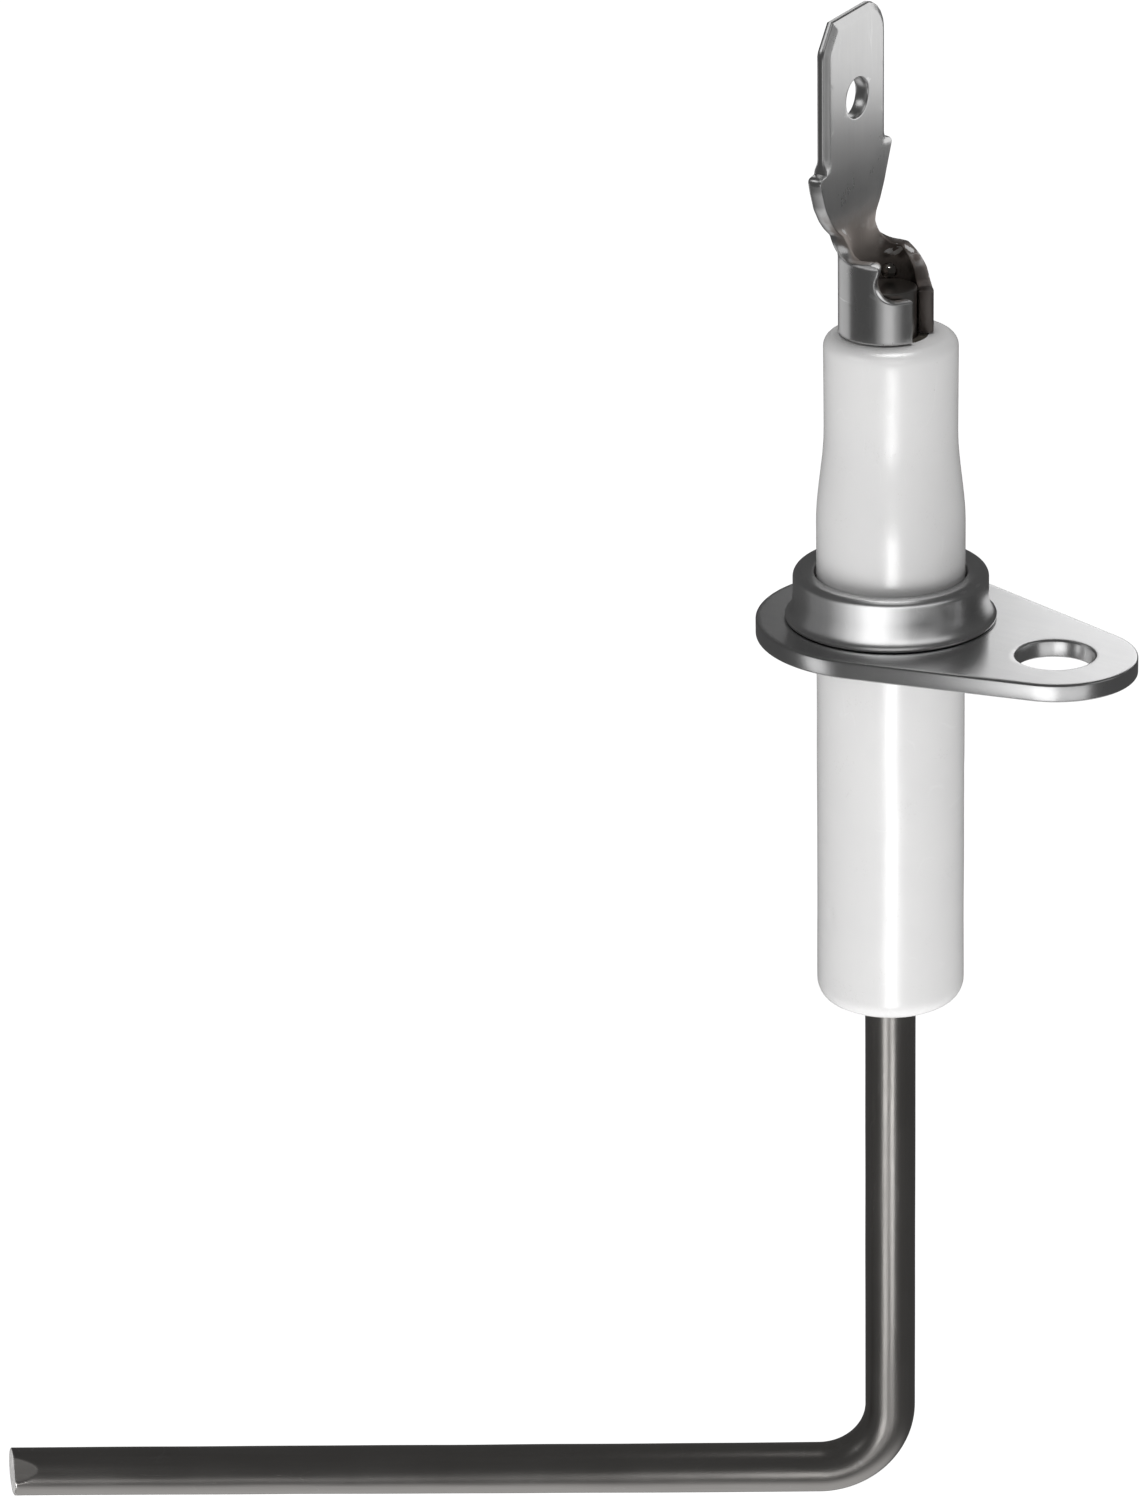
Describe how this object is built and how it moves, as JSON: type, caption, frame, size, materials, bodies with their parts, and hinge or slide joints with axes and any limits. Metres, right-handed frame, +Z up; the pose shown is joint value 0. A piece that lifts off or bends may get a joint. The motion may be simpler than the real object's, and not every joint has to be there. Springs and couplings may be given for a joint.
{
  "type": "ignition electrode",
  "caption": "Spark and flame-sensing electrode: a bent wire in a round ceramic tube, held by a teardrop flange with one fixing hole, with a flat push-on tab on top.",
  "frame": {"origin": "on the ceramic tube's axis, in the plane of the flange's underside", "axes": "+Z up along the ceramic tube towards the push-on tab; +X from the ceramic's axis towards the fixing hole in the flange's ear"},
  "size_m": [0.0562, 0.0371, 0.0861],
  "materials": {
    "alumina": "fired white alumina, satin, faintly mottled",
    "cement": "matt, grainy cement",
    "flange_steel": "bright pressed steel, satin face and smooth rolled edge",
    "sleeve_steel": "bright drawn steel with turning lines round the wall",
    "packing": "dull grey pressed packing",
    "wire_steel": "drawn heat-resistant wire, dark oxide with a satin sheen",
    "terminal_steel": "pressed strip steel, satin, with a coined edge",
    "weld_metal": "smooth bright weld bead"
  },
  "bodies": {
    "root": {"ceramic_insulator": "alumina", "upper_cement_ring": "cement", "lower_cement_ring": "cement", "mounting_flange": "flange_steel", "collar_sleeve": "sleeve_steel", "packing_ring": "packing", "electrode_wire": "wire_steel", "tab_terminal": "terminal_steel", "weld_bead": "weld_metal"}
  },
  "joints": []
}
